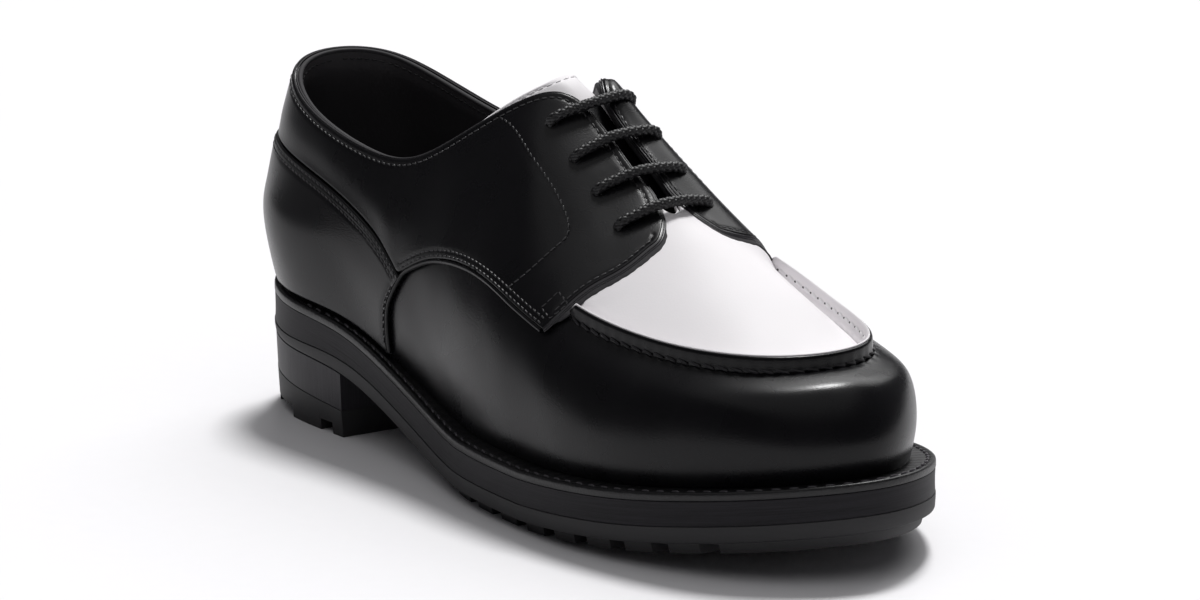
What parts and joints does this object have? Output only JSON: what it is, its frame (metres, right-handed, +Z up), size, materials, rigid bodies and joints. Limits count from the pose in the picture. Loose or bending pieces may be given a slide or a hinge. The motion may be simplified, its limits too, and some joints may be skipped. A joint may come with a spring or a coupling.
{
  "type": "apron derby shoe",
  "caption": "Low laced derby shoe for the right foot in black leather with a white apron, on a stitched welt and a lugged sole with a stacked heel.",
  "frame": {"origin": "middle of the shoe's box seen from above, on the floor", "axes": "+X from heel to toe, +Y to the inner (medial) side, +Z up"},
  "size_m": [0.2927, 0.1076, 0.1209],
  "materials": {
    "black_leather": "smooth calf with a soft polish",
    "white_leather": "smooth white calf, satin",
    "sole_leather": "sanded and stained sole edge",
    "sole_rubber": "matte black rubber",
    "welt_leather": "dark waxed edge",
    "insole_leather": "plain dark lining leather",
    "lace_cord": "round waxed braid"
  },
  "bodies": {
    "root": {"outsole": "sole_rubber", "midsole": "sole_leather", "welt": "welt_leather", "heel_lift": "sole_leather", "heel_top_piece": "sole_rubber", "insole": "insole_leather", "upper": "black_leather", "counter": "black_leather", "back_strip": "black_leather", "quarter_lateral": "black_leather", "quarter_medial": "black_leather", "apron": "white_leather", "apron_seam": "black_leather", "tongue": "white_leather", "lace_bar_1": "lace_cord", "lace_bar_2": "lace_cord", "lace_bar_3": "lace_cord", "lace_bar_4": "lace_cord"}
  },
  "joints": []
}
